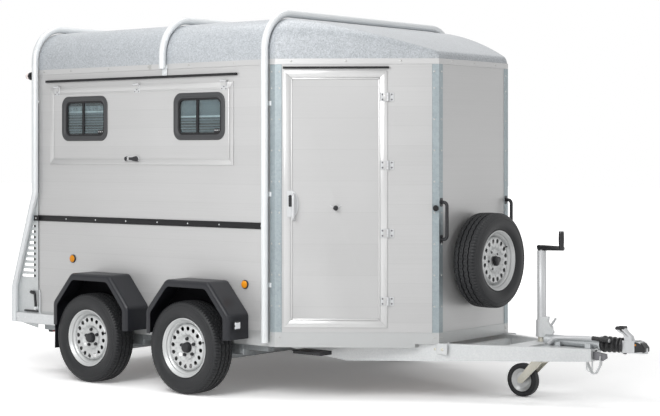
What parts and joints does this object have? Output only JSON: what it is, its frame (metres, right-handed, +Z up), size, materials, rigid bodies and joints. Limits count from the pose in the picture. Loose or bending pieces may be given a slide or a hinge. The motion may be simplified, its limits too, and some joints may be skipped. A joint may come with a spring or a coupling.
{
  "type": "horse trailer",
  "caption": "Twin-axle horse trailer with angled nose and side door, lift-up window flaps, roof hoops, rear ramp, front spare wheel, jockey wheel and overrun coupling.",
  "frame": {"origin": "on the ground under the middle of the whole trailer, midway between its rear legs and the coupling's nose", "axes": "+X towards the coupling, +Y to the left side, +Z up"},
  "size_m": [4.6043, 2.434, 2.5045],
  "materials": {
    "aluminium_panel": "brushed plank",
    "galvanised_steel": "hot-dip galvanised",
    "bright_steel": "zinc plated",
    "grey_moulding": "textured grp",
    "black_plastic": "moulded",
    "black_rubber": "matt",
    "tyre_rubber": "matt",
    "deck_board": "sealed plywood",
    "window_moulding": "smoked",
    "lamp_lens": "clear",
    "red_lens": "red"
  },
  "bodies": {
    "trailer": {"axle_front": "galvanised_steel", "axle_rear": "galvanised_steel", "bellows": "black_rubber", "body_frame": "galvanised_steel", "chassis_frame": "galvanised_steel", "coupling_head": "bright_steel", "drawbar": "galvanised_steel", "fender_front_left": "black_plastic", "fender_front_right": "black_plastic", "fender_rear_left": "black_plastic", "fender_rear_right": "black_plastic", "floor": "deck_board", "front_panel": "aluminium_panel", "grab_handle_left": "black_plastic", "grab_handle_right": "black_plastic", "handbrake_lever": "bright_steel", "hoop_front": "galvanised_steel", "hoop_mid": "galvanised_steel", "jockey_tube": "galvanised_steel", "marker_lamp_left": "lamp_lens", "marker_lamp_right": "lamp_lens", "nose_panel_left": "aluminium_panel", "nose_panel_right": "aluminium_panel", "overrun_housing": "bright_steel", "rear_frame": "galvanised_steel", "rear_header": "aluminium_panel", "rear_lamp_left": "red_lens", "rear_lamp_right": "red_lens", "roof_band": "aluminium_panel", "roof_nose": "grey_moulding", "roof_rear": "grey_moulding", "rub_strip_left": "black_plastic", "rub_strip_right": "black_plastic", "side_wall_left": "aluminium_panel", "side_wall_right": "aluminium_panel", "spare_carrier": "galvanised_steel", "spare_tyre": "tyre_rubber", "spare_wheel": "bright_steel"},
    "wheel_rear_right": {"tyre_rear_right": "tyre_rubber", "wheel_rear_right": "bright_steel"},
    "wheel_rear_left": {"tyre_rear_left": "tyre_rubber", "wheel_rear_left": "bright_steel"},
    "wheel_front_right": {"tyre_front_right": "tyre_rubber", "wheel_front_right": "bright_steel"},
    "wheel_front_left": {"tyre_front_left": "tyre_rubber", "wheel_front_left": "bright_steel"},
    "door": {"door": "aluminium_panel"},
    "ramp": {"ramp": "aluminium_panel"},
    "jockey_fork": {"jockey_fork": "galvanised_steel"},
    "jockey_wheel": {"jockey_wheel": "black_rubber"},
    "flap_right": {"flap_right": "aluminium_panel", "window_rear_right": "window_moulding", "window_front_right": "window_moulding"},
    "flap_left": {"flap_left": "aluminium_panel", "window_rear_left": "window_moulding", "window_front_left": "window_moulding"}
  },
  "joints": [
    {"name": "wheel_rear_right_spin", "type": "hinge", "parent": "trailer", "child": "wheel_rear_right", "pos_m": [-1.3481, -1.1145, 0.3054], "axis": [0, 1, 0], "continuous": true},
    {"name": "wheel_rear_left_spin", "type": "hinge", "parent": "trailer", "child": "wheel_rear_left", "pos_m": [-1.3481, 1.1145, 0.3054], "axis": [0, 1, 0], "continuous": true},
    {"name": "wheel_front_right_spin", "type": "hinge", "parent": "trailer", "child": "wheel_front_right", "pos_m": [-0.4331, -1.1145, 0.3054], "axis": [0, 1, 0], "continuous": true},
    {"name": "wheel_front_left_spin", "type": "hinge", "parent": "trailer", "child": "wheel_front_left", "pos_m": [-0.4331, 1.1145, 0.3054], "axis": [0, 1, 0], "continuous": true},
    {"name": "door_hinge", "type": "hinge", "parent": "trailer", "child": "door", "pos_m": [0.7941, -0.6023, 1.285], "axis": [0, 0, 1], "range_deg": [0, 170]},
    {"name": "flap_right_hinge", "type": "hinge", "parent": "trailer", "child": "flap_right", "pos_m": [-1.0356, -1.029, 2.049], "axis": [-1, 0, 0], "range_deg": [0, 90]},
    {"name": "flap_left_hinge", "type": "hinge", "parent": "trailer", "child": "flap_left", "pos_m": [-1.0356, 1.029, 2.049], "axis": [1, 0, 0], "range_deg": [0, 90]},
    {"name": "ramp_hinge", "type": "hinge", "parent": "trailer", "child": "ramp", "pos_m": [-2.1081, 0, 0.386], "axis": [0, -1, 0], "range_deg": [0, 104]},
    {"name": "jockey_swivel", "type": "hinge", "parent": "trailer", "child": "jockey_fork", "pos_m": [1.4748, 0.14, 0.45], "axis": [0, 0, 1], "continuous": true},
    {"name": "jockey_wheel_spin", "type": "hinge", "parent": "jockey_fork", "child": "jockey_wheel", "pos_m": [1.3348, 0.14, 0.1086], "axis": [0, 1, 0], "continuous": true}
  ]
}
